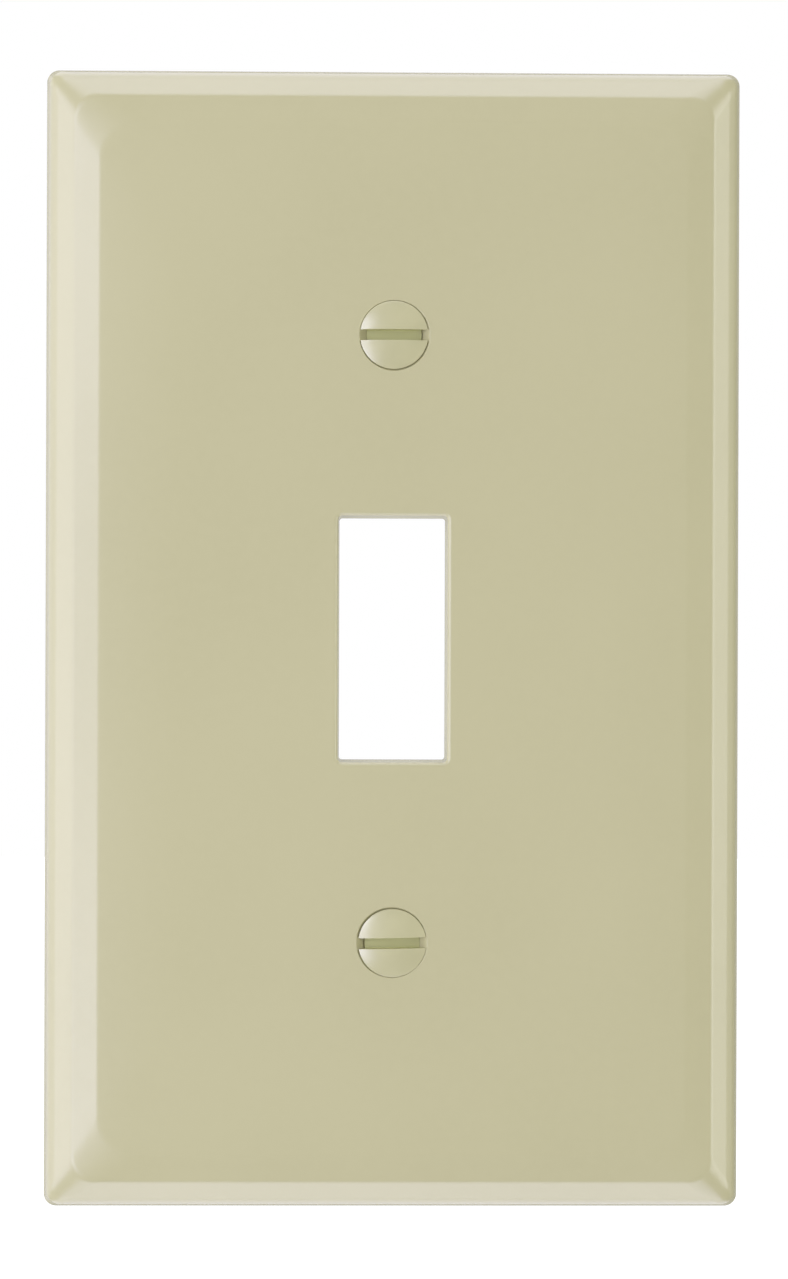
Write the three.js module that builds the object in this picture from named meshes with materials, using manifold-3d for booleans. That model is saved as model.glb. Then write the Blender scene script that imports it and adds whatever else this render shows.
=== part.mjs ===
// Toggle-opening wall plate, one gang, with its two captive oval-head screws.
//
// Millimetres. X is the width, Z is up, and the plate faces -Y. The wall is the plane y = 0, so
// the "rise" of a point is its distance in front of the wall, which is -y.

import * as THREE from 'three';
import { mergeVertices } from 'three/addons/utils/BufferGeometryUtils.js';
import Module from 'manifold-3d';

const wasm = await Module();
wasm.setup();

// Plate: outline and face.
const PLATE_WIDTH = 69.85;
const PLATE_HEIGHT = 114.3;
const FACE_RISE = 5.6;
const OUTLINE_CORNER_RADIUS = 1.25;
const CORNER_GROWTH = 0.5; // extra corner radius for each millimetre in from the outline
const CORNER_STEPS = 6;

// Plate: edge section. A drafted side, a bevel and a shallow brow lead up to a slightly crowned face.
const EDGE_CORNERS = [
  { inset: 0.62, rise: 2.9, radius: 3, steps: 5 },
  { inset: 3.08, rise: 4.72, radius: 1.3, steps: 4 },
  { inset: 5.74, rise: 5.3, radius: 3, steps: 2 },
];
const CROWN_START_DEG = 4.2;
const CROWN_STEPS = 5;

// Plate: hollow back.
const RIM_WIDTH = 2.0;
const HOLLOW_RISE = 3.2;
const HOLLOW_CORNER_RADIUS = 1.5;
const HOLLOW_SECTION = [[2.0, 0], [2.3, 1.9], [3.1, 2.55], [4.6, 2.95], [8.5, HOLLOW_RISE]];

// Plate: ribs, screw bosses and the collar around the opening.
const OPENING_WIDTH = 10.4;
const OPENING_HEIGHT = 24.0;
const OPENING_CORNER_RADIUS = 0.2;
const OPENING_EDGE_RADIUS = 0.4;
const COLLAR_WALL = 1.6;
const COLLAR_BACK_RISE = 0.9;
const RIB_THICKNESS = 1.1;
const RIB_BACK_RISE = 1.6;
const FRAME_ROOT = 0.5; // how far the ribs, collar and bosses run up into the face
const LONG_RIB_X = 15.5;
const CROSS_RIB_Z = [18.5, 41.5];
const BOSS_RADIUS = 4.6;
const BOSS_BACK_RISE = 2.8;

// Screws: 6-32 UNC slotted oval heads, 5/8 inch long from the head's rim.
const SCREW_SPACING = 60.325;
const SCREW_LENGTH = 15.875;
const THREAD_PITCH = 25.4 / 32;
const THREAD_MAJOR_RADIUS = 1.74;
const THREAD_ROOT_RADIUS = 1.3;
const NECK_RADIUS = 1.45;
const HEAD_RADIUS = 3.375;
const HEAD_RIM = 0.2;
const HEAD_HALF_ANGLE = THREE.MathUtils.degToRad(41);
const DOME_HEIGHT = 0.55;
const SLOT_WIDTH = 1.08;
const SLOT_DEPTH_BELOW_RIM = 0.9;
const THREAD_START = 5.4; // below the head's rim
const THREAD_HALF_CREST = 0.06;
const THREAD_HALF_FOOT = 0.37;
const RIDGE_BURIAL = 0.15; // how deep the ridge's foot sits in the core
const RIDGE_LEAST = 0.05; // height of the ridge over its own foot where it dies out
const THREAD_CLEARANCE = 0.1; // between the thread's end and the tip's chamfer
const TIP_CHAMFER = 0.5;
const LOWER_SCREW_TURN_DEG = 1;

// Countersunk holes in the plate.
const SINK_RADIUS = 3.5;
const SINK_LAND = 0.3;
const HOLE_RADIUS = 1.95;

// Retainers: flexible washers that ride on the screws' necks, behind the plate.
const RETAINER_RADIUS = 3.9;
const RETAINER_BORE_RADIUS = 1.54;
const RETAINER_THICKNESS = 0.8;
const RETAINER_BACK_RISE = 0.35;
const RETAINER_EDGE = 0.15;

const ROUND_STEPS = 40;
const THREAD_STEPS = 16;
const CUT_MARGIN = 2; // how far a cutting tool runs past the face it cuts

const radians = THREE.MathUtils.degToRad;

// ---------------------------------------------------------------- solids

function signedVolume(positions, index) {
  const a = new THREE.Vector3();
  const b = new THREE.Vector3();
  const c = new THREE.Vector3();
  let volume = 0;
  for (let i = 0; i < index.length; i += 3) {
    a.fromArray(positions, index[i] * 3);
    b.fromArray(positions, index[i + 1] * 3);
    c.fromArray(positions, index[i + 2] * 3);
    volume += a.dot(b.cross(c)) / 6;
  }
  return volume;
}

// A closed three.js geometry as a manifold solid, turned outwards if it was built inside out.
function toSolid(geometry) {
  const bare = geometry.clone();
  bare.deleteAttribute('normal');
  bare.deleteAttribute('uv');
  const merged = mergeVertices(bare, 1e-5);
  const vertProperties = new Float32Array(merged.attributes.position.array);
  const all = Array.from(merged.index.array);
  const kept = [];
  for (let i = 0; i < all.length; i += 3) {
    const [a, b, c] = all.slice(i, i + 3);
    if (a !== b && b !== c && c !== a) kept.push(a, b, c);
  }
  if (signedVolume(vertProperties, kept) < 0) kept.reverse();
  const triVerts = new Uint32Array(kept);
  return new wasm.Manifold(new wasm.Mesh({ numProp: 3, vertProperties, triVerts }));
}

function toGeometry(solid) {
  const mesh = solid.getMesh();
  const geometry = new THREE.BufferGeometry();
  geometry.setAttribute('position', new THREE.BufferAttribute(new Float32Array(mesh.vertProperties), 3));
  geometry.setIndex(new THREE.BufferAttribute(new Uint32Array(mesh.triVerts), 1));
  const faceted = geometry.toNonIndexed();
  faceted.computeVertexNormals();
  return faceted;
}

// A rounded rectangle in the X-Z plane as points, counter-clockwise seen from the front.
function roundedRectangle(halfWidth, halfHeight, radius, steps) {
  const points = [];
  const corners = [[1, 1, 0], [-1, 1, 90], [-1, -1, 180], [1, -1, 270]];
  for (const [sideX, sideZ, startDeg] of corners) {
    for (let i = 0; i <= steps; i += 1) {
      const angle = radians(startDeg + (90 * i) / steps);
      const x = sideX * (halfWidth - radius) + radius * Math.cos(angle);
      const z = sideZ * (halfHeight - radius) + radius * Math.sin(angle);
      points.push([x, z]);
    }
  }
  return points;
}

// A solid through a stack of rings. Each ring is { rise, points }, all with as many points.
function loft(rings) {
  const count = rings[0].points.length;
  const positions = [];
  const index = [];
  for (const ring of rings) {
    for (const [x, z] of ring.points) positions.push(x, -ring.rise, z);
  }
  for (let r = 0; r + 1 < rings.length; r += 1) {
    for (let i = 0; i < count; i += 1) {
      const a = r * count + i;
      const b = r * count + ((i + 1) % count);
      index.push(a, b, a + count, b, b + count, a + count);
    }
  }
  const addCap = (ring, reversed) => {
    const rise = rings[ring].rise;
    const centre = positions.length / 3;
    positions.push(0, -rise, 0);
    for (let i = 0; i < count; i += 1) {
      const a = ring * count + i;
      const b = ring * count + ((i + 1) % count);
      if (reversed) index.push(centre, b, a);
      else index.push(centre, a, b);
    }
  };
  addCap(0, true);
  addCap(rings.length - 1, false);
  const geometry = new THREE.BufferGeometry();
  geometry.setAttribute('position', new THREE.Float32BufferAttribute(positions, 3));
  geometry.setIndex(index);
  return toSolid(geometry);
}

function boxSolid(width, depth, height, x, y, z) {
  const geometry = new THREE.BoxGeometry(width, depth, height);
  geometry.translate(x, y, z);
  return toSolid(geometry);
}

// A solid turned about the Y axis. The profile is [radius, y], from axis to axis.
function turned(profile, steps = ROUND_STEPS) {
  const points = profile.map(([radius, y]) => new THREE.Vector2(radius, y));
  return toSolid(new THREE.LatheGeometry(points, steps));
}

// ---------------------------------------------------------------- wall plate

// Rounds the corner between two straight runs, as points on an arc that touches both.
function roundedCorner(before, corner, after, radius, steps) {
  const towardBefore = before.clone().sub(corner).normalize();
  const towardAfter = after.clone().sub(corner).normalize();
  const halfAngle = Math.acos(towardBefore.dot(towardAfter)) / 2;
  const tangent = radius / Math.tan(halfAngle);
  const middle = towardBefore.clone().add(towardAfter).normalize();
  const centre = corner.clone().addScaledVector(middle, radius / Math.sin(halfAngle));
  const first = corner.clone().addScaledVector(towardBefore, tangent).sub(centre);
  const last = corner.clone().addScaledVector(towardAfter, tangent).sub(centre);
  const sweep = Math.atan2(first.cross(last), first.dot(last));
  const points = [];
  for (let i = 0; i <= steps; i += 1) {
    points.push(first.clone().rotateAround(new THREE.Vector2(), (sweep * i) / steps).add(centre));
  }
  return points;
}

// The outside of the edge section, from the wall to the flat of the face, as [inset, rise].
function edgeSection() {
  const lean = radians(CROWN_START_DEG);
  const corners = EDGE_CORNERS.map(({ inset, rise }) => new THREE.Vector2(inset, rise));
  const crownward = new THREE.Vector2(Math.cos(lean), Math.sin(lean));
  const path = [new THREE.Vector2(0, 0), ...corners, corners[corners.length - 1].clone().add(crownward)];
  const section = [path[0]];
  EDGE_CORNERS.forEach(({ radius, steps }, i) => {
    section.push(...roundedCorner(path[i], path[i + 1], path[i + 2], radius, steps));
  });
  const start = section[section.length - 1];
  const crownRadius = (FACE_RISE - start.y) / (1 - Math.cos(lean));
  for (let i = 1; i <= CROWN_STEPS; i += 1) {
    const angle = lean * (1 - i / CROWN_STEPS);
    const inset = start.x + crownRadius * (Math.sin(lean) - Math.sin(angle));
    section.push(new THREE.Vector2(inset, FACE_RISE - crownRadius * (1 - Math.cos(angle))));
  }
  return section.map(({ x, y }) => [x, y]);
}

function plateRing(inset, rise, cornerRadius) {
  const halfWidth = PLATE_WIDTH / 2 - inset;
  const halfHeight = PLATE_HEIGHT / 2 - inset;
  return { rise, points: roundedRectangle(halfWidth, halfHeight, cornerRadius, CORNER_STEPS) };
}

function plateOutside() {
  const rings = edgeSection().map(([inset, rise]) => (
    plateRing(inset, rise, OUTLINE_CORNER_RADIUS + CORNER_GROWTH * inset)
  ));
  return loft(rings);
}

function plateHollow() {
  const rings = HOLLOW_SECTION.map(([inset, rise]) => (
    plateRing(inset, rise, HOLLOW_CORNER_RADIUS + CORNER_GROWTH * (inset - RIM_WIDTH))
  ));
  const mouth = rings[0].points;
  return loft([{ rise: -CUT_MARGIN, points: mouth }, ...rings]);
}

// Everything that stands on the back of the face, run up into the face so that it is one body.
function backFrame() {
  const root = HOLLOW_RISE + FRAME_ROOT;
  const reachX = PLATE_WIDTH - 2 * RIM_WIDTH;
  const reachZ = PLATE_HEIGHT - 2 * RIM_WIDTH;
  const ribDepth = root - RIB_BACK_RISE;
  const ribY = -(root + RIB_BACK_RISE) / 2;
  const collarDepth = root - COLLAR_BACK_RISE;
  const collarY = -(root + COLLAR_BACK_RISE) / 2;
  const collarWidth = OPENING_WIDTH + 2 * COLLAR_WALL;
  const collarHeight = OPENING_HEIGHT + 2 * COLLAR_WALL;
  let frame = boxSolid(collarWidth, collarDepth, collarHeight, 0, collarY, 0);
  for (const side of [-1, 1]) {
    const longRib = boxSolid(RIB_THICKNESS, ribDepth, reachZ, side * LONG_RIB_X, ribY, 0);
    frame = frame.add(longRib);
    for (const ribZ of CROSS_RIB_Z) {
      frame = frame.add(boxSolid(reachX, ribDepth, RIB_THICKNESS, 0, ribY, side * ribZ));
    }
    const boss = turned([
      [0, -root],
      [BOSS_RADIUS, -root],
      [BOSS_RADIUS, -BOSS_BACK_RISE],
      [0, -BOSS_BACK_RISE],
    ]);
    frame = frame.add(boss.translate([0, 0, (side * SCREW_SPACING) / 2]));
  }
  return frame;
}

// The toggle's opening, with the moulding's small round on its front edge.
function openingCutter() {
  const ringAt = (rise, growth) => ({
    rise,
    points: roundedRectangle(
      OPENING_WIDTH / 2 + growth,
      OPENING_HEIGHT / 2 + growth,
      OPENING_CORNER_RADIUS + growth,
      3,
    ),
  });
  const rings = [ringAt(-CUT_MARGIN, 0)];
  const steps = 4;
  for (let i = 0; i <= steps; i += 1) {
    const angle = (Math.PI / 2) * (i / steps);
    const growth = OPENING_EDGE_RADIUS * (1 - Math.cos(angle));
    rings.push(ringAt(FACE_RISE - OPENING_EDGE_RADIUS * (1 - Math.sin(angle)), growth));
  }
  rings.push(ringAt(FACE_RISE + CUT_MARGIN, OPENING_EDGE_RADIUS));
  return loft(rings);
}

function screwHoleCutter(z) {
  const coneDepth = (SINK_RADIUS - HOLE_RADIUS) / Math.tan(HEAD_HALF_ANGLE);
  const coneTop = FACE_RISE - SINK_LAND;
  const cutter = turned([
    [0, -(FACE_RISE + CUT_MARGIN)],
    [SINK_RADIUS, -(FACE_RISE + CUT_MARGIN)],
    [SINK_RADIUS, -coneTop],
    [HOLE_RADIUS, -(coneTop - coneDepth)],
    [HOLE_RADIUS, CUT_MARGIN],
    [0, CUT_MARGIN],
  ]);
  return cutter.translate([0, 0, z]);
}

function wallPlate() {
  let plate = plateOutside().subtract(plateHollow()).add(backFrame());
  plate = plate.subtract(openingCutter());
  plate = plate.subtract(screwHoleCutter(SCREW_SPACING / 2));
  return plate.subtract(screwHoleCutter(-SCREW_SPACING / 2));
}

// ---------------------------------------------------------------- screws

// Head and neck as [radius, y], with the head's rim at y = 0 and the tip at +Y.
function headProfile() {
  const domeRadius = (HEAD_RADIUS ** 2 + DOME_HEIGHT ** 2) / (2 * DOME_HEIGHT);
  const domeAngle = Math.asin(HEAD_RADIUS / domeRadius);
  const profile = [];
  const domeSteps = 6;
  for (let i = 0; i <= domeSteps; i += 1) {
    const angle = (domeAngle * i) / domeSteps;
    const y = domeRadius * (1 - Math.cos(angle)) - DOME_HEIGHT;
    profile.push([domeRadius * Math.sin(angle), y]);
  }
  const coneDepth = (HEAD_RADIUS - NECK_RADIUS) / Math.tan(HEAD_HALF_ANGLE);
  profile.push([HEAD_RADIUS, HEAD_RIM]);
  profile.push([NECK_RADIUS, HEAD_RIM + coneDepth]);
  profile.push([NECK_RADIUS, THREAD_START]);
  profile.push([0, THREAD_START]);
  return profile;
}

// The core under the thread has the thread's own number of sides, so the two meet cleanly.
function threadCore() {
  const profile = [
    [0, THREAD_START - 1],
    [THREAD_ROOT_RADIUS, THREAD_START - 1],
    [THREAD_ROOT_RADIUS, SCREW_LENGTH - TIP_CHAMFER],
    [THREAD_ROOT_RADIUS - TIP_CHAMFER, SCREW_LENGTH],
    [0, SCREW_LENGTH],
  ];
  return turned(profile, THREAD_STEPS);
}

// The thread's ridge: a right-handed helix whose crest dies into the core at both ends.
function threadRidge() {
  const buried = THREAD_ROOT_RADIUS - RIDGE_BURIAL;
  const firstY = THREAD_START + THREAD_HALF_FOOT;
  const lastY = SCREW_LENGTH - TIP_CHAMFER - THREAD_CLEARANCE;
  const steps = Math.floor(((lastY - firstY) / THREAD_PITCH) * THREAD_STEPS);
  const runOut = THREAD_STEPS / 2;
  const positions = [];
  const index = [];
  for (let s = 0; s <= steps; s += 1) {
    const angle = (2 * Math.PI * s) / THREAD_STEPS;
    const y = firstY + (THREAD_PITCH * s) / THREAD_STEPS;
    const fade = Math.min(1, s / runOut, (steps - s) / runOut);
    const crest = THREE.MathUtils.lerp(buried + RIDGE_LEAST, THREAD_MAJOR_RADIUS, fade);
    const section = [
      [buried, -THREAD_HALF_FOOT],
      [crest, -THREAD_HALF_CREST],
      [crest, THREAD_HALF_CREST],
      [buried, THREAD_HALF_FOOT],
    ];
    for (const [radius, offset] of section) {
      positions.push(radius * Math.sin(angle), y + offset, radius * Math.cos(angle));
    }
  }
  const count = 4;
  for (let s = 0; s < steps; s += 1) {
    for (let i = 0; i < count; i += 1) {
      const a = s * count + i;
      const b = s * count + ((i + 1) % count);
      index.push(a, a + count, b, b, a + count, b + count);
    }
  }
  const last = steps * count;
  for (let i = 1; i + 1 < count; i += 1) {
    index.push(0, i, i + 1);
    index.push(last, last + i + 1, last + i);
  }
  const geometry = new THREE.BufferGeometry();
  geometry.setAttribute('position', new THREE.Float32BufferAttribute(positions, 3));
  geometry.setIndex(index);
  return toSolid(geometry);
}

function ovalHeadScrew() {
  const slotDepth = DOME_HEIGHT + SLOT_DEPTH_BELOW_RIM + CUT_MARGIN;
  const slotY = SLOT_DEPTH_BELOW_RIM - slotDepth / 2;
  const slot = boxSolid(3 * HEAD_RADIUS, slotDepth, SLOT_WIDTH, 0, slotY, 0);
  return turned(headProfile()).add(threadCore()).add(threadRidge()).subtract(slot);
}

// ---------------------------------------------------------------- retainers

function retainerWasher() {
  const half = RETAINER_THICKNESS / 2;
  const bevel = RETAINER_EDGE;
  return turned([
    [RETAINER_BORE_RADIUS, -half],
    [RETAINER_RADIUS - bevel, -half],
    [RETAINER_RADIUS, -half + bevel],
    [RETAINER_RADIUS, half - bevel],
    [RETAINER_RADIUS - bevel, half],
    [RETAINER_BORE_RADIUS, half],
    [RETAINER_BORE_RADIUS, -half],
  ]);
}

// ---------------------------------------------------------------- materials and assembly

function ivoryPlastic() {
  return new THREE.MeshStandardMaterial({ color: '#d8d2b2', roughness: 0.34, metalness: 0 });
}

function ivoryPaint() {
  return new THREE.MeshStandardMaterial({ color: '#d6d0ae', roughness: 0.28, metalness: 0 });
}

function naturalNylon() {
  return new THREE.MeshStandardMaterial({ color: '#e4e0d2', roughness: 0.5, metalness: 0 });
}

function addPart(parent, name, solid, material) {
  const mesh = new THREE.Mesh(toGeometry(solid), material);
  mesh.name = name;
  parent.add(mesh);
  return mesh;
}

function addFixing(parent, place, z, turnDeg) {
  const fixing = new THREE.Group();
  fixing.name = `${place}_fixing`;
  fixing.position.set(0, 0, z);
  const screw = addPart(fixing, `${place}_screw`, ovalHeadScrew(), ivoryPaint());
  screw.position.set(0, -FACE_RISE, 0);
  screw.rotation.set(0, -radians(turnDeg), 0);
  const retainer = addPart(fixing, `${place}_retainer`, retainerWasher(), naturalNylon());
  retainer.position.set(0, -(RETAINER_BACK_RISE + RETAINER_THICKNESS / 2), 0);
  parent.add(fixing);
}

const assembly = new THREE.Group();
assembly.name = 'toggle_wall_plate';
addPart(assembly, 'wall_plate', wallPlate(), ivoryPlastic());
addFixing(assembly, 'upper', SCREW_SPACING / 2, 0);
addFixing(assembly, 'lower', -SCREW_SPACING / 2, LOWER_SCREW_TURN_DEG);

export default assembly;
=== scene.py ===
import math

import bmesh
import bpy
from mathutils import Matrix, Vector


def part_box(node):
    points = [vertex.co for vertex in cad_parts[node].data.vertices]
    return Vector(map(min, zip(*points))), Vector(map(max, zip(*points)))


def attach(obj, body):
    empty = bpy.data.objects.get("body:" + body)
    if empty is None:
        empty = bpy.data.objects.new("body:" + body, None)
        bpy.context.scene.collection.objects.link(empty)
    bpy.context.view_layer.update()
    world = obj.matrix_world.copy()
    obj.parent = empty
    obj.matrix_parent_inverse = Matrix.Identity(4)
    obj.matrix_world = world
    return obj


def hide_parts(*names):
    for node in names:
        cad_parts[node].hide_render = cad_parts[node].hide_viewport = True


# Looks for the toggle-opening wall plate. Metres; X is the width, Z is up and the plate faces -Y.
# Section sizes are in millimetres, and MM turns them into metres.

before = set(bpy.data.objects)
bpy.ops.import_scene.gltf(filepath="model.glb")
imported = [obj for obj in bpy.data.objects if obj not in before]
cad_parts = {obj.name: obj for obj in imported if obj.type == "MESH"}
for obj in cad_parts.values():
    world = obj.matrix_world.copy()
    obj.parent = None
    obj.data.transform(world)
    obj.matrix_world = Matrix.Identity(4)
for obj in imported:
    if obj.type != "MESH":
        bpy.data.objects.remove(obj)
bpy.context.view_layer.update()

MM = 0.001

# Plate: outline and front.
plate_low, plate_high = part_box("wall_plate")
HALF_WIDTH = (plate_high.x - plate_low.x) / 2 / MM
HALF_HEIGHT = (plate_high.z - plate_low.z) / 2 / MM
FACE_RISE = (plate_high.y - plate_low.y) / MM
OUTLINE_CORNER = 1.25
CORNER_GROWTH = 0.5
CORNER_STEPS = 16

# Plate: corners of the edge section, each (inset, rise, radius, steps). The crown then starts at a
# small lean and flattens out toward the middle of the face.
EDGE_CORNERS = (
    (0.0, 0.0, 0.02, 2),
    (0.62, 2.9, 3.0, 20),
    (3.08, 4.72, 1.3, 10),
    (5.74, 5.3, 3.0, 8),
)
CROWN_START = math.radians(4.2)
CROWN_STEPS = 12

# Plate: hollow back. The mouth's corners are (growth past the rim, rise).
RIM_WIDTH = 2.0
HOLLOW_MOUTH = ((-0.3, -2.0), (-0.15, 0.0), (0.0, 0.15))
HOLLOW_DRAFT = 0.25
HOLLOW_CORNER = 1.5
HOLLOW_WALL_RISE = 1.7
HOLLOW_RISE = 3.2
HOLLOW_SWEEP = 6.2
HOLLOW_STEPS = 14

# Plate: what stands on the back, which is ribs, bosses and the collar round the opening.
COLLAR_WALL = 1.6
COLLAR_BACK = 0.9
COLLAR_CORNER = 1.2
RIB_HALF = 0.5
RIB_BACK = 1.6
RIB_CORNER = 0.3
RIB_X = 15.5
RIB_Z = (18.5, 41.5)
BOSS_RADIUS = 4.6
BOSS_BACK = 2.8
BOSS_ROOT_GROWTH = 0.4
BOSS_ROUND = 0.15
STANDING_DRAFT = 0.1
STANDING_ROUND = 0.2
STANDING_STEPS = 4
LEAST_CORNER = 0.05
BASE_FILLET = 0.3
ROOT_OVERLAP = 0.15

# Plate: the opening. Its walls stand OPENING_DRAFT outside its nominal size, at the back and at
# the face, and the whole opening sits OPENING_SHIFT along X.
OPENING_WIDTH = 10.4
OPENING_HEIGHT = 24.0
OPENING_CORNER = 0.2
OPENING_ROUND = 0.4
OPENING_BACK_ROUND = 0.2
OPENING_ROUND_STEPS = 8
OPENING_DRAFT = (0.1, 0.25)
OPENING_SHIFT = -0.06

# Plate: the countersunk holes. SINK_LIP is the small round at their edge.
SINK_RADIUS = 3.5
SINK_LAND = 0.05
SINK_LIP = 0.06
HOLE_RADIUS = 1.95
CUT_MARGIN = 2.0

# Screws: head, slot and neck. The depths are behind the head's rim.
HEAD_RADIUS = 3.375
HEAD_RIM = 0.08
HEAD_HALF_ANGLE = math.radians(41)
HEAD_SOFTENING = 0.04
DOME_HEIGHT = 0.55
DOME_STEPS = 18
SLOT_WIDTH = 1.08
SLOT_FLOOR = 0.8
SLOT_FILLET = 0.12
SLOT_OVERRUN = 1.0
NECK_RADIUS = 1.45
PAINT_DEPTH = 1.2
LOWER_TURN = math.radians(1.0)

# Screws: thread. The ridge starts and ends clear of the core's ends by THREAD_END_GAPS.
THREAD_PITCH = 25.4 / 32
THREAD_MAJOR = 1.74
THREAD_ROOT = 1.3
THREAD_START = 5.4
THREAD_BURIED = 0.1
THREAD_HALF_FOOT = 0.365
THREAD_HALF_CREST = 0.06
THREAD_CREST_ROUND = 0.03
THREAD_FLANK_STEP = 0.02
THREAD_END_GAPS = (0.02, 0.1)
THREAD_RUN_OUT_TURNS = 0.5
THREAD_STEPS = 48
CORE_OVERLAP = 1.0
SCREW_LENGTH = 15.875
TIP_CHAMFER = 0.5

# Captive washers.
WASHER_BORE = 1.54
WASHER_ROUND = 0.15

# Facets round each turned solid, and steps round a quarter turn of a small edge.
HOLE_FACETS = 96
HEAD_FACETS = 96
BOSS_FACETS = 72
WASHER_FACETS = 72
CORE_FACETS = 48
EDGE_STEPS = 4

# The plate hangs a little off its screws, so each hole sits this far (x, z) off its head's centre.
HOLE_SHIFT = {"upper": (0.055, -0.045), "lower": (-0.06, 0.06)}

SCREW_Z = {
    "upper": (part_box("upper_screw")[0].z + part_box("upper_screw")[1].z) / 2 / MM,
    "lower": (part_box("lower_screw")[0].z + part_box("lower_screw")[1].z) / 2 / MM,
}


# ------------------------------------------------------------------ mesh building

def mesh_object(name, vertices, faces):
    mesh = bpy.data.meshes.new(name)
    mesh.from_pydata([Vector(v) * MM for v in vertices], [], faces)
    work = bmesh.new()
    work.from_mesh(mesh)
    bmesh.ops.remove_doubles(work, verts=work.verts, dist=1e-8)
    bmesh.ops.dissolve_degenerate(work, edges=work.edges, dist=1e-8)
    bmesh.ops.recalc_face_normals(work, faces=work.faces)
    work.to_mesh(mesh)
    work.free()
    item = bpy.data.objects.new(name, mesh)
    bpy.context.scene.collection.objects.link(item)
    return item


def rounded_rectangle(half_width, half_height, radius, steps=CORNER_STEPS):
    points = []
    for side_x, side_z, start in ((1, 1, 0), (-1, 1, 90), (-1, -1, 180), (1, -1, 270)):
        for i in range(steps + 1):
            angle = math.radians(start + 90 * i / steps)
            x = side_x * (half_width - radius) + radius * math.cos(angle)
            z = side_z * (half_height - radius) + radius * math.sin(angle)
            points.append((x, z))
    return points


def loft(name, rings):
    """A closed solid through rings of (rise, points), each with as many points."""
    count = len(rings[0][1])
    vertices = [(x, -rise, z) for rise, points in rings for x, z in points]
    faces = []
    for r in range(len(rings) - 1):
        for i in range(count):
            a = r * count + i
            b = r * count + (i + 1) % count
            faces.append((a, b, b + count, a + count))
    faces.append(tuple(range(count)))
    faces.append(tuple(range((len(rings) - 1) * count, len(rings) * count)))
    return mesh_object(name, vertices, faces)


def turned(name, profile, steps):
    """A solid turned about the Y axis. Its profile, (radius, y), goes axis to axis or is closed."""
    count = len(profile)
    vertices = []
    for s in range(steps):
        angle = 2 * math.pi * s / steps
        for radius, y in profile:
            vertices.append((radius * math.sin(angle), y, radius * math.cos(angle)))
    faces = []
    for s in range(steps):
        t = (s + 1) % steps
        for i in range(count - 1):
            faces.append((s * count + i, s * count + i + 1, t * count + i + 1, t * count + i))
    return mesh_object(name, vertices, faces)


def quarter_turn(steps=EDGE_STEPS):
    """Angles from 0 to 90 degrees, with both ends."""
    return [math.pi / 2 * i / steps for i in range(steps + 1)]


def combine(target, tool, operation):
    """Cuts or joins a solid with another, and uses the other one up."""
    modifier = target.modifiers.new("combine", "BOOLEAN")
    modifier.operation = operation
    modifier.solver = "EXACT"
    modifier.object = tool
    bake_modifiers(target)
    bpy.data.objects.remove(tool, do_unlink=True)
    return target


def bake_modifiers(item):
    evaluated = item.evaluated_get(bpy.context.evaluated_depsgraph_get())
    mesh = bpy.data.meshes.new_from_object(evaluated)
    item.modifiers.clear()
    item.data = mesh
    mesh.name = item.name


def move(item, x=0.0, y=0.0, z=0.0):
    item.data.transform(Matrix.Translation(Vector((x, y, z)) * MM))
    return item


def finish_shading(item, sharp_degrees=32):
    mesh = item.data
    mesh.polygons.foreach_set("use_smooth", [True] * len(mesh.polygons))
    mesh.set_sharp_from_angle(angle=math.radians(sharp_degrees))
    weighted = item.modifiers.new("weighted_normals", "WEIGHTED_NORMAL")
    weighted.keep_sharp = True
    weighted.weight = 100


# ------------------------------------------------------------------ wall plate

def rounded_corner(before, corner, after, radius, steps):
    """Points along the arc that touches both runs of a corner."""
    toward_before = (before - corner).normalized()
    toward_after = (after - corner).normalized()
    half_angle = toward_before.angle(toward_after) / 2
    tangent = radius / math.tan(half_angle)
    middle = (toward_before + toward_after).normalized()
    centre = corner + middle * radius / math.sin(half_angle)
    first = corner + toward_before * tangent - centre
    last = corner + toward_after * tangent - centre
    sweep = -first.angle_signed(last)
    return [centre + Matrix.Rotation(sweep * i / steps, 2) @ first for i in range(steps + 1)]


def edge_section():
    """The outside of the plate from its back rim to the flat of its face, as (inset, rise)."""
    corners = [Vector((inset, rise)) for inset, rise, _, _ in EDGE_CORNERS]
    crownward = Vector((math.cos(CROWN_START), math.sin(CROWN_START)))
    path = [Vector((RIM_WIDTH, 0.0)), *corners, corners[-1] + crownward]
    section = []
    for i, (_, _, radius, steps) in enumerate(EDGE_CORNERS):
        section += rounded_corner(path[i], path[i + 1], path[i + 2], radius, steps)
    start = section[-1]
    crown_radius = (FACE_RISE - start.y) / (1 - math.cos(CROWN_START))
    for i in range(1, CROWN_STEPS + 1):
        angle = CROWN_START * (1 - i / CROWN_STEPS)
        inset = start.x + crown_radius * (math.sin(CROWN_START) - math.sin(angle))
        section.append(Vector((inset, FACE_RISE - crown_radius * (1 - math.cos(angle)))))
    return section


def plate_ring(inset, rise, corner):
    return rise, rounded_rectangle(HALF_WIDTH - inset, HALF_HEIGHT - inset, corner)


def plate_outside():
    rings = [
        plate_ring(inset, rise, OUTLINE_CORNER + CORNER_GROWTH * inset)
        for inset, rise in edge_section()
    ]
    return loft("plate_moulding", rings)


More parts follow.
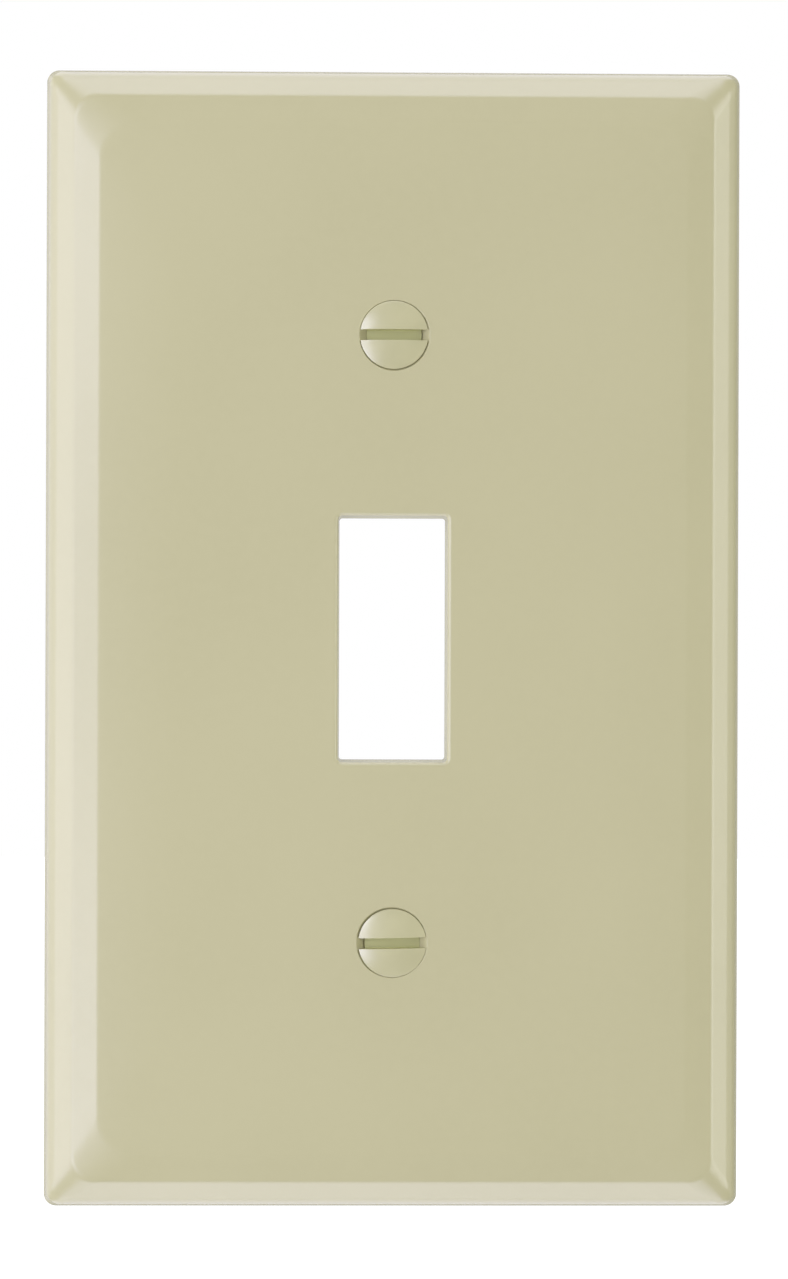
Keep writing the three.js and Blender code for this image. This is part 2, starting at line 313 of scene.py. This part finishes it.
def plate_hollow():
    """The cutter for the back: a mouth with a broken edge, a drafted wall, then a swept floor."""
    section = [(RIM_WIDTH + growth, rise) for growth, rise in HOLLOW_MOUTH]
    mouth_inset = section[0][0]
    wall_inset = RIM_WIDTH + HOLLOW_DRAFT
    for angle in quarter_turn(HOLLOW_STEPS):
        inset = wall_inset + HOLLOW_SWEEP * (1 - math.cos(angle))
        rise = HOLLOW_WALL_RISE + (HOLLOW_RISE - HOLLOW_WALL_RISE) * math.sin(angle)
        section.append((inset, rise))
    rings = [
        plate_ring(inset, rise, HOLLOW_CORNER + CORNER_GROWTH * (inset - mouth_inset))
        for inset, rise in section
    ]
    return loft("hollow", rings)


def standing(name, half_width, half_height, corner, back):
    """A rib or collar that stands on the back of the face, with a fillet at its foot."""
    section = [(HOLLOW_RISE + ROOT_OVERLAP, STANDING_DRAFT + BASE_FILLET)]
    for angle in quarter_turn():
        section.append((
            HOLLOW_RISE - BASE_FILLET * (1 - math.cos(angle)),
            STANDING_DRAFT + BASE_FILLET * (1 - math.sin(angle)),
        ))
    for angle in quarter_turn():
        section.append((
            back + STANDING_ROUND * (1 - math.sin(angle)),
            -STANDING_ROUND * (1 - math.cos(angle)),
        ))
    rings = []
    for rise, growth in section:
        radius = max(LEAST_CORNER, corner + growth)
        outline = rounded_rectangle(
            half_width + growth, half_height + growth, radius, STANDING_STEPS
        )
        rings.append((rise, outline))
    return loft(name, rings)


def screw_boss():
    root = HOLLOW_RISE + ROOT_OVERLAP
    root_radius = BOSS_RADIUS + BOSS_ROOT_GROWTH
    profile = [(0, -root), (root_radius, -root), (root_radius, -HOLLOW_RISE)]
    for angle in quarter_turn():
        profile.append((
            BOSS_RADIUS - BOSS_ROUND * (1 - math.cos(angle)),
            -(BOSS_BACK + BOSS_ROUND * (1 - math.sin(angle))),
        ))
    profile.append((0, -BOSS_BACK))
    return turned("boss", profile, BOSS_FACETS)


def opening_cutter():
    def ring(rise, growth):
        half_width = OPENING_WIDTH / 2 + growth
        half_height = OPENING_HEIGHT / 2 + growth
        corner = OPENING_CORNER + growth
        return rise, rounded_rectangle(half_width, half_height, corner, OPENING_ROUND_STEPS)

    back_growth, face_growth = OPENING_DRAFT
    angles = quarter_turn(OPENING_ROUND_STEPS)
    rings = [ring(-CUT_MARGIN, back_growth + OPENING_BACK_ROUND)]
    for angle in angles:
        rise = COLLAR_BACK + OPENING_BACK_ROUND * (1 - math.cos(angle))
        rings.append(ring(rise, back_growth + OPENING_BACK_ROUND * (1 - math.sin(angle))))
    for angle in angles:
        rise = FACE_RISE - OPENING_ROUND * (1 - math.sin(angle))
        rings.append(ring(rise, face_growth + OPENING_ROUND * (1 - math.cos(angle))))
    rings.append(ring(FACE_RISE + CUT_MARGIN, face_growth + OPENING_ROUND))
    return loft("opening", rings)


def hole_cutter():
    cone_top = FACE_RISE - SINK_LAND
    cone_depth = (SINK_RADIUS - HOLE_RADIUS) / math.tan(HEAD_HALF_ANGLE)
    front = -(FACE_RISE + CUT_MARGIN)
    profile = [(0, front), (SINK_RADIUS + SINK_LIP, front)]
    for angle in quarter_turn():
        profile.append((
            SINK_RADIUS + SINK_LIP * (1 - math.sin(angle)),
            -(FACE_RISE - SINK_LIP * (1 - math.cos(angle))),
        ))
    profile += [
        (SINK_RADIUS, -cone_top),
        (HOLE_RADIUS, -(cone_top - cone_depth)),
        (HOLE_RADIUS, CUT_MARGIN),
        (0, CUT_MARGIN),
    ]
    return turned("screw_hole", profile, HOLE_FACETS)


def wall_plate():
    plate = combine(plate_outside(), plate_hollow(), "DIFFERENCE")
    collar_x = OPENING_WIDTH / 2 + COLLAR_WALL
    collar_z = OPENING_HEIGHT / 2 + COLLAR_WALL
    collar = standing("collar", collar_x, collar_z, COLLAR_CORNER, COLLAR_BACK)
    combine(plate, collar, "UNION")
    reach_x = HALF_WIDTH - RIM_WIDTH
    reach_z = HALF_HEIGHT - RIM_WIDTH
    for side in (-1, 1):
        rib = standing("long_rib", RIB_HALF, reach_z, RIB_CORNER, RIB_BACK)
        combine(plate, move(rib, x=side * RIB_X), "UNION")
        for rib_z in RIB_Z:
            rib = standing("cross_rib", reach_x, RIB_HALF, RIB_CORNER, RIB_BACK)
            combine(plate, move(rib, z=side * rib_z), "UNION")
    for z in SCREW_Z.values():
        combine(plate, move(screw_boss(), z=z), "UNION")
    combine(plate, move(opening_cutter(), x=OPENING_SHIFT), "DIFFERENCE")
    for place, z in SCREW_Z.items():
        shift_x, shift_z = HOLE_SHIFT[place]
        combine(plate, move(hole_cutter(), x=shift_x, z=z + shift_z), "DIFFERENCE")
    return plate


# ------------------------------------------------------------------ screws

def screw_head(name):
    """The domed head, its cone and the neck, with the middle of the head's rim at Y = 0."""
    dome_radius = (HEAD_RADIUS ** 2 + DOME_HEIGHT ** 2) / (2 * DOME_HEIGHT)
    dome_angle = math.asin(HEAD_RADIUS / dome_radius)
    profile = []
    for i in range(DOME_STEPS + 1):
        angle = dome_angle * i / DOME_STEPS
        profile.append((
            dome_radius * math.sin(angle),
            dome_radius * (1 - math.cos(angle)) - DOME_HEIGHT,
        ))
    cone_depth = (HEAD_RADIUS - NECK_RADIUS) / math.tan(HEAD_HALF_ANGLE)
    profile += [
        (HEAD_RADIUS, HEAD_RIM),
        (NECK_RADIUS, HEAD_RIM + cone_depth),
        (NECK_RADIUS, THREAD_START),
        (0, THREAD_START),
    ]
    return turned(name, profile, HEAD_FACETS)


def slot_cutter():
    half_width = SLOT_WIDTH / 2
    outline = [(half_width, -(DOME_HEIGHT + SLOT_OVERRUN))]
    for angle in quarter_turn():
        outline.append((
            half_width - SLOT_FILLET * (1 - math.cos(angle)),
            SLOT_FLOOR - SLOT_FILLET * (1 - math.sin(angle)),
        ))
    outline += [(-z, y) for z, y in reversed(outline)]
    reach = HEAD_RADIUS + SLOT_OVERRUN
    vertices = [(x, y, z) for x in (-reach, reach) for z, y in outline]
    count = len(outline)
    faces = [(i, (i + 1) % count, (i + 1) % count + count, i + count) for i in range(count)]
    faces += [tuple(range(count)), tuple(range(count, 2 * count))]
    return mesh_object("slot", vertices, faces)


def thread_core():
    profile = [
        (0, THREAD_START - CORE_OVERLAP),
        (THREAD_ROOT, THREAD_START - CORE_OVERLAP),
        (THREAD_ROOT, SCREW_LENGTH - TIP_CHAMFER),
        (THREAD_ROOT - TIP_CHAMFER, SCREW_LENGTH),
        (0, SCREW_LENGTH),
    ]
    return turned("thread_core", profile, CORE_FACETS)


def thread_ridge():
    """A right-handed helix whose crest dies into the core at both ends."""
    buried = THREAD_ROOT - THREAD_BURIED
    least_crest = buried + THREAD_CREST_ROUND
    first = THREAD_START + THREAD_HALF_FOOT + THREAD_END_GAPS[0]
    last = SCREW_LENGTH - TIP_CHAMFER - THREAD_END_GAPS[1]
    steps = int((last - first) / THREAD_PITCH * THREAD_STEPS)
    run_out = THREAD_STEPS * THREAD_RUN_OUT_TURNS
    flank = THREAD_HALF_CREST + THREAD_FLANK_STEP
    vertices = []
    for s in range(steps + 1):
        angle = 2 * math.pi * s / THREAD_STEPS
        y = first + THREAD_PITCH * s / THREAD_STEPS
        fade = min(1.0, s / run_out, (steps - s) / run_out)
        crest = least_crest + (THREAD_MAJOR - least_crest) * fade
        shoulder = crest - THREAD_CREST_ROUND * fade
        section = (
            (buried, -THREAD_HALF_FOOT),
            (shoulder, -flank),
            (crest, -THREAD_HALF_CREST),
            (crest, THREAD_HALF_CREST),
            (shoulder, flank),
            (buried, THREAD_HALF_FOOT),
        )
        for radius, offset in section:
            vertices.append((radius * math.sin(angle), y + offset, radius * math.cos(angle)))
    count = len(section)
    faces = []
    for s in range(steps):
        for i in range(count):
            a = s * count + i
            b = s * count + (i + 1) % count
            faces.append((a, b, b + count, a + count))
    faces.append(tuple(range(count)))
    faces.append(tuple(range(steps * count, (steps + 1) * count)))
    return mesh_object("thread_ridge", vertices, faces)


def oval_head_screw(place):
    head = combine(screw_head(f"{place}_oval_head_screw"), slot_cutter(), "DIFFERENCE")
    soften = head.modifiers.new("soft_edges", "BEVEL")
    soften.width = HEAD_SOFTENING * MM
    soften.segments = 3
    soften.limit_method = "ANGLE"
    soften.angle_limit = math.radians(45)
    soften.harden_normals = False
    bake_modifiers(head)
    combine(head, thread_core(), "UNION")
    combine(head, thread_ridge(), "UNION")
    turn = -LOWER_TURN if place == "lower" else 0.0
    head.data.transform(Matrix.Rotation(turn, 4, "Y"))
    return move(head, y=-FACE_RISE, z=SCREW_Z[place])


def retainer_washer(place):
    low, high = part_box(f"{place}_retainer")
    outer = (high.x - low.x) / 2 / MM
    half = (high.y - low.y) / 2 / MM
    corners = (
        (WASHER_BORE, half, -1, 1),
        (outer, half, 1, 1),
        (outer, -half, 1, -1),
        (WASHER_BORE, -half, -1, -1),
    )
    profile = []
    for index, (radius, y, out, back) in enumerate(corners):
        for angle in quarter_turn():
            if index % 2:
                angle = math.pi / 2 - angle
            profile.append((
                radius - out * WASHER_ROUND * (1 - math.cos(angle)),
                y - back * WASHER_ROUND * (1 - math.sin(angle)),
            ))
    profile.append(profile[0])
    washer = turned(f"{place}_captive_washer", profile, WASHER_FACETS)
    return move(washer, y=(low.y + high.y) / 2 / MM, z=(low.z + high.z) / 2 / MM)


# ------------------------------------------------------------------ materials

PLASTIC_IOR = 1.7
PLASTIC_TONES = ((0.552, 0.519, 0.274), (0.570, 0.536, 0.285))
PLASTIC_SPECK = (0.580, 0.546, 0.290)
ENAMEL_IOR = 1.9
ENAMEL_TONES = ((0.545, 0.517, 0.266), (0.583, 0.553, 0.287))
ZINC_TONES = ((0.48, 0.48, 0.47), (0.66, 0.66, 0.64))
NYLON_TONES = ((0.66, 0.63, 0.50), (0.74, 0.71, 0.58))
FLOOR_TONES = ((0.86, 0.86, 0.86), (0.88, 0.88, 0.88))

# Painted bounce light: below the face the enamel turns to a lighter, greener tone, which stands in
# for light bouncing in the slot and round the head; that tone, and the depths below the face where
# it starts and is complete.
PAINTED_BOUNCE_TONE = (0.635, 0.632, 0.295)
PAINTED_BOUNCE_DEPTHS = (0.02, 0.5)


class Nodes:
    """Short names for making and joining shader nodes."""

    def __init__(self, name):
        self.material = bpy.data.materials.new(name)
        self.material.use_nodes = True
        self.tree = self.material.node_tree
        self.shader = self.tree.nodes["Principled BSDF"]
        self.place = self.add("ShaderNodeTexCoord").outputs["Object"]

    def add(self, kind, **settings):
        node = self.tree.nodes.new(kind)
        for key, value in settings.items():
            setattr(node, key, value)
        return node

    def link(self, source, target):
        self.tree.links.new(source, target)

    def noise(self, scale, detail=2.0, roughness=0.5, stretch=None):
        node = self.add("ShaderNodeTexNoise")
        node.inputs["Scale"].default_value = scale
        node.inputs["Detail"].default_value = detail
        node.inputs["Roughness"].default_value = roughness
        source = self.place
        if stretch:
            mapping = self.add("ShaderNodeMapping")
            mapping.inputs["Scale"].default_value = stretch
            self.link(source, mapping.inputs["Vector"])
            source = mapping.outputs["Vector"]
        self.link(source, node.inputs["Vector"])
        return node.outputs["Fac"]

    def depth(self):
        """The Y coordinate, which grows from the face toward the wall."""
        node = self.add("ShaderNodeSeparateXYZ")
        self.link(self.place, node.inputs["Vector"])
        return node.outputs["Y"]

    def spread(self, source, low, high, out_low=0.0, out_high=1.0):
        node = self.add("ShaderNodeMapRange")
        node.inputs["From Min"].default_value = low
        node.inputs["From Max"].default_value = high
        node.inputs["To Min"].default_value = out_low
        node.inputs["To Max"].default_value = out_high
        self.link(source, node.inputs["Value"])
        return node.outputs["Result"]

    def mix(self, factor, first, second):
        node = self.add("ShaderNodeMix", data_type="RGBA")
        self.link(factor, node.inputs["Factor"])
        for socket, value in (("A", first), ("B", second)):
            target = next(i for i in node.inputs if i.name == socket and i.type == "RGBA")
            if isinstance(value, tuple):
                target.default_value = (*value, 1.0)
            else:
                self.link(value, target)
        return next(o for o in node.outputs if o.type == "RGBA")

    def maths(self, operation, first, second):
        node = self.add("ShaderNodeMath", operation=operation)
        for socket, value in zip(node.inputs, (first, second)):
            if isinstance(value, (int, float)):
                socket.default_value = value
            else:
                self.link(value, socket)
        return node.outputs["Value"]

    def bump(self, height, distance, strength=1.0, below=None):
        node = self.add("ShaderNodeBump")
        node.inputs["Strength"].default_value = strength
        node.inputs["Distance"].default_value = distance
        self.link(height, node.inputs["Height"])
        if below is not None:
            self.link(below, node.inputs["Normal"])
        return node.outputs["Normal"]

    def surface(self, colour, roughness, normal, metallic=0.0, ior=1.5):
        self.link(colour, self.shader.inputs["Base Color"])
        self.link(roughness, self.shader.inputs["Roughness"])
        self.link(normal, self.shader.inputs["Normal"])
        self.shader.inputs["Metallic"].default_value = metallic
        self.shader.inputs["IOR"].default_value = ior
        return self.material


def ivory_plastic():
    n = Nodes("ivory_plastic")
    cloud = n.spread(n.noise(35, 2), 0.35, 0.65)
    speck = n.spread(n.noise(900, 2), 0.35, 0.65)
    tone = n.mix(cloud, *PLASTIC_TONES)
    tone = n.mix(n.maths("MULTIPLY", speck, 0.25), tone, PLASTIC_SPECK)
    wear = n.spread(n.noise(180, 3, 0.6), 0.45, 0.75)
    rough = n.spread(n.noise(420, 3), 0.3, 0.7, 0.22, 0.25)
    rough = n.maths("ADD", rough, n.maths("MULTIPLY", wear, 0.02))
    flow = n.bump(n.noise(60, 1), 0.000004, 0.5)
    grain = n.bump(n.noise(2200, 2), 0.000002, 0.5, flow)
    return n.surface(tone, rough, grain, ior=PLASTIC_IOR)


def ivory_enamel():
    n = Nodes("ivory_enamel")
    cloud = n.spread(n.noise(300, 2), 0.35, 0.65)
    tone = n.mix(cloud, *ENAMEL_TONES)
    # Painted bounce light: recessed enamel is mixed toward a lighter, greener tone.
    painted_bounce = n.spread(n.depth(), *((depth - FACE_RISE) * MM for depth in PAINTED_BOUNCE_DEPTHS))
    tone = n.mix(painted_bounce, tone, PAINTED_BOUNCE_TONE)
    rough = n.spread(n.noise(700, 2), 0.3, 0.7, 0.22, 0.27)
    peel = n.bump(n.noise(1500, 1), 0.0000015, 0.5)
    return n.surface(tone, rough, peel, ior=ENAMEL_IOR)


def zinc_plated_steel():
    n = Nodes("zinc_plated_steel")
    cloud = n.spread(n.noise(420, 3), 0.3, 0.7)
    tone = n.mix(cloud, *ZINC_TONES)
    rough = n.spread(n.noise(1600, 3), 0.3, 0.7, 0.24, 0.42)
    lines = n.bump(n.noise(900, 2, 0.5, (0.3, 8.0, 0.3)), 0.000006, 0.5)
    return n.surface(tone, rough, lines, metallic=1.0)


def natural_nylon():
    n = Nodes("natural_nylon")
    cloud = n.spread(n.noise(240, 2), 0.35, 0.65)
    tone = n.mix(cloud, *NYLON_TONES)
    rough = n.spread(n.noise(900, 2), 0.3, 0.7, 0.42, 0.55)
    grain = n.bump(n.noise(3000, 2), 0.000008, 0.5)
    return n.surface(tone, rough, grain)


def pale_floor():
    n = Nodes("pale_floor")
    cloud = n.spread(n.noise(3, 2), 0.3, 0.7)
    tone = n.mix(cloud, *FLOOR_TONES)
    rough = n.spread(n.noise(8, 2), 0.3, 0.7, 0.7, 0.8)
    texture = n.bump(n.noise(60, 2), 0.0005, 0.1)
    n.shader.inputs["Emission Color"].default_value = (1, 1, 1, 1)
    n.shader.inputs["Emission Strength"].default_value = FLOOR_GLOW
    n.shader.inputs["Specular IOR Level"].default_value = 0.0
    return n.surface(tone, rough, texture)


# ------------------------------------------------------------------ studio

FLOOR_Z = -0.8
FLOOR_GLOW = 1.0
FLOOR_RINGS = (0.2, 0.6, 1.5, 4.0, 12.0)
FLOOR_FACETS = 96
AMBIENT = 0.28
LIGHT_DISTANCE = 0.8
DAYLIGHT = (0.79, 0.79, 1.06)
LAMPLIGHT = (0.94, 0.94, 1.0)

# Softboxes: the colour, the side of the plate they stand on, in degrees about its face, then how
# far off straight-out they begin and end, half of their width across, and their radiance.
SOFTBOXES = {
    "left_fill": (DAYLIGHT, 180, 10, 27, 22, 0.3),
    "left_front": (DAYLIGHT, 180, 27, 55, 25, 2.7),
    "left_front_high": (DAYLIGHT, 148, 27, 48, 12, 1.6),
    "left_front_low": (DAYLIGHT, 212, 27, 48, 12, 1.6),
    "left_side": (DAYLIGHT, 180, 55, 88, 31, 2.45),
    "left_back": (DAYLIGHT, 180, 88, 115, 31, 0.9),
    "left_far": (DAYLIGHT, 180, 115, 155, 31, 0.7),
    "right_side": (LAMPLIGHT, 0, 55, 82, 31, 2.7),
    "right_back": (LAMPLIGHT, 0, 82, 115, 31, 0.5),
    "top_side": (DAYLIGHT, 90, 55, 90, 31, 2.15),
    "top_back": (DAYLIGHT, 90, 90, 140, 31, 1.45),
    "low_side": (DAYLIGHT, 270, 55, 90, 31, 2.2),
    "low_back": (DAYLIGHT, 270, 90, 140, 31, 1.5),
    "behind": (LAMPLIGHT, 0, 160, 200, 25, 0.4),
}

# Camera: it looks at the face nearly square on, from a little to the left of the middle.
CAMERA_PLACE = (-0.00562, -0.33502, -0.00023)
CAMERA_TURNS = (("Z", -0.991), ("X", 0.031), ("Y", -0.183), ("X", 90))
CAMERA_SENSOR = 36.0
CAMERA_LENS = 93.51
CAMERA_CLIP = (0.01, 50)


def studio_floor():
    vertices = [(0, 0, FLOOR_Z)]
    for radius in FLOOR_RINGS:
        for i in range(FLOOR_FACETS):
            angle = 2 * math.pi * i / FLOOR_FACETS
            vertices.append((radius * math.cos(angle), radius * math.sin(angle), FLOOR_Z))
    faces = [(0, 1 + i, 1 + (i + 1) % FLOOR_FACETS) for i in range(FLOOR_FACETS)]
    for r in range(len(FLOOR_RINGS) - 1):
        for i in range(FLOOR_FACETS):
            a = 1 + r * FLOOR_FACETS + i
            b = 1 + r * FLOOR_FACETS + (i + 1) % FLOOR_FACETS
            faces.append((a, a + FLOOR_FACETS, b + FLOOR_FACETS, b))
    floor = mesh_object("studio_floor", [Vector(v) / MM for v in vertices], faces)
    floor.data.materials.append(pale_floor())
    floor.visible_diffuse = False
    floor.visible_glossy = False


def polar(distance, off_axis, direction):
    """A point that far from the plate, off_axis degrees from straight out of its face."""
    out = math.radians(off_axis)
    turn = math.radians(direction)
    return Vector((
        distance * math.sin(out) * math.cos(turn),
        -distance * math.cos(out),
        distance * math.sin(out) * math.sin(turn),
    ))


def softbox(name, colour, direction, begin, end, half_across, radiance):
    """A rectangular light that faces the plate and spans the angles from begin to end."""
    middle = (begin + end) / 2
    data = bpy.data.lights.new(name, "AREA")
    data.shape = "RECTANGLE"
    data.size = 2 * LIGHT_DISTANCE * math.tan(math.radians(end - begin) / 2)
    data.size_y = 2 * LIGHT_DISTANCE * math.tan(math.radians(half_across))
    data.color = colour
    data.energy = radiance * math.pi * data.size * data.size_y
    away = polar(1.0, middle, direction)
    outward = polar(1.0, middle + 90, direction)
    axes = Matrix((outward, away.cross(outward), away)).transposed()
    light = bpy.data.objects.new(name, data)
    light.matrix_world = Matrix.Translation(away * LIGHT_DISTANCE) @ axes.to_4x4()
    light.visible_camera = False
    bpy.context.scene.collection.objects.link(light)


def studio_lights():
    for name, setting in SOFTBOXES.items():
        softbox(f"{name}_softbox", *setting)


def studio_world():
    world = bpy.data.worlds.new("studio")
    world.use_nodes = True
    bpy.context.scene.world = world
    tree = world.node_tree
    background = tree.nodes["Background"]
    background.inputs["Color"].default_value = (1, 1, 1, 1)
    rays = tree.nodes.new("ShaderNodeLightPath")
    strength = tree.nodes.new("ShaderNodeMapRange")
    strength.inputs["To Min"].default_value = AMBIENT
    strength.inputs["To Max"].default_value = 1.0
    tree.links.new(rays.outputs["Is Camera Ray"], strength.inputs["Value"])
    tree.links.new(strength.outputs["Result"], background.inputs["Strength"])


def studio_camera():
    data = bpy.data.cameras.new("camera")
    data.sensor_width = CAMERA_SENSOR
    data.lens = CAMERA_LENS
    data.clip_start, data.clip_end = CAMERA_CLIP
    camera = bpy.data.objects.new("camera", data)
    turn = Matrix.Identity(3)
    for axis, degrees in CAMERA_TURNS:
        turn = turn @ Matrix.Rotation(math.radians(degrees), 3, axis)
    camera.matrix_world = Matrix.Translation(CAMERA_PLACE) @ turn.to_4x4()
    bpy.context.scene.collection.objects.link(camera)
    bpy.context.scene.camera = camera


# ------------------------------------------------------------------ assembly

plate = wall_plate()
plate.data.materials.clear()
plate.data.materials.append(ivory_plastic())
finish_shading(plate)
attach(plate, "plate")
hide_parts("wall_plate")

enamel = ivory_enamel()
zinc = zinc_plated_steel()
nylon = natural_nylon()
for place in ("upper", "lower"):
    screw = oval_head_screw(place)
    screw.data.materials.clear()
    screw.data.materials.append(enamel)
    screw.data.materials.append(zinc)
    paint_ends = (PAINT_DEPTH - FACE_RISE) * MM
    for face in screw.data.polygons:
        face.material_index = int(face.center.y > paint_ends)
    finish_shading(screw)
    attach(screw, f"{place}_screw")
    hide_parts(f"{place}_screw")

    washer = retainer_washer(place)
    washer.data.materials.append(nylon)
    finish_shading(washer)
    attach(washer, f"{place}_retainer")
    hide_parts(f"{place}_retainer")

studio_floor()
studio_lights()
studio_world()
studio_camera()
bpy.context.scene.view_settings.view_transform = "Standard"
